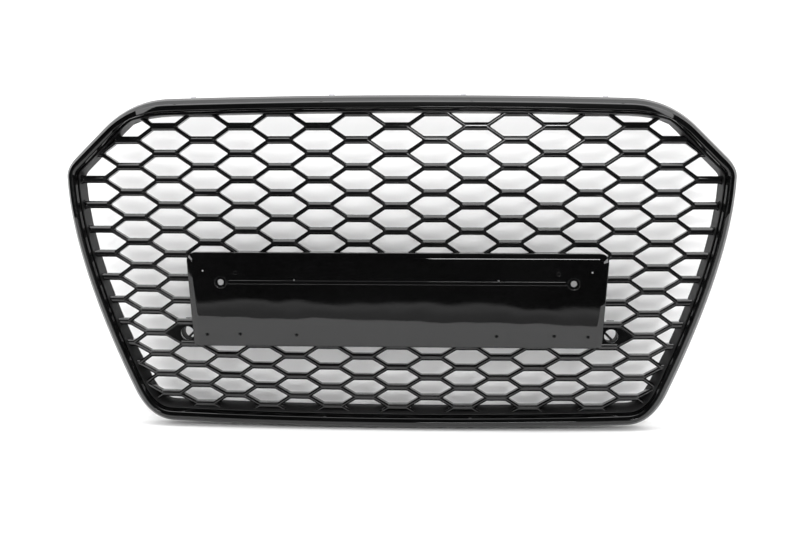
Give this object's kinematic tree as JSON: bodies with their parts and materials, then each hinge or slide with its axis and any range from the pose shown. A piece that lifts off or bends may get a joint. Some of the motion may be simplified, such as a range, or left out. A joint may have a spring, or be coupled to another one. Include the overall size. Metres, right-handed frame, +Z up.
{
  "type": "front grille",
  "caption": "Car front grille: a net of squashed hexagons in a gloss black ring, with a number-plate panel low in the middle and a round parking-sensor hole either side of it.",
  "frame": {"origin": "on the plane of symmetry, at half the height of the outline, at the depth of the foremost point of the bowed surface that the outline is drawn on", "axes": "+X across the car towards the right in a front view, +Y towards the rear of the car, +Z up; the front faces -Y"},
  "size_m": [0.8926, 0.0776, 0.4483],
  "materials": {
    "gloss_black": "gloss black paint-like plastic",
    "satin_black": "moulded gloss to satin black plastic",
    "textured_black": "lightly textured black plastic",
    "dark_steel": "dark zinc-plated steel"
  },
  "bodies": {
    "root": {"surround_trim": "gloss_black", "plate_panel": "gloss_black", "honeycomb_mesh": "satin_black", "carrier_frame": "textured_black", "sensor_bracket_left": "textured_black", "sensor_bracket_right": "textured_black", "frame_screw_01": "dark_steel", "frame_screw_02": "dark_steel", "frame_screw_03": "dark_steel", "frame_screw_04": "dark_steel", "frame_screw_05": "dark_steel", "frame_screw_06": "dark_steel", "frame_screw_07": "dark_steel", "frame_screw_08": "dark_steel", "frame_screw_09": "dark_steel", "frame_screw_10": "dark_steel", "frame_screw_11": "dark_steel", "frame_screw_12": "dark_steel", "panel_screw_1": "dark_steel", "panel_screw_2": "dark_steel", "panel_screw_3": "dark_steel", "panel_screw_4": "dark_steel", "panel_screw_5": "dark_steel", "panel_screw_6": "dark_steel", "sensor_screw_1": "dark_steel", "sensor_screw_2": "dark_steel", "sensor_screw_3": "dark_steel", "sensor_screw_4": "dark_steel", "top_clip_1": "dark_steel", "top_clip_2": "dark_steel", "top_clip_3": "dark_steel", "top_clip_4": "dark_steel"}
  },
  "joints": []
}
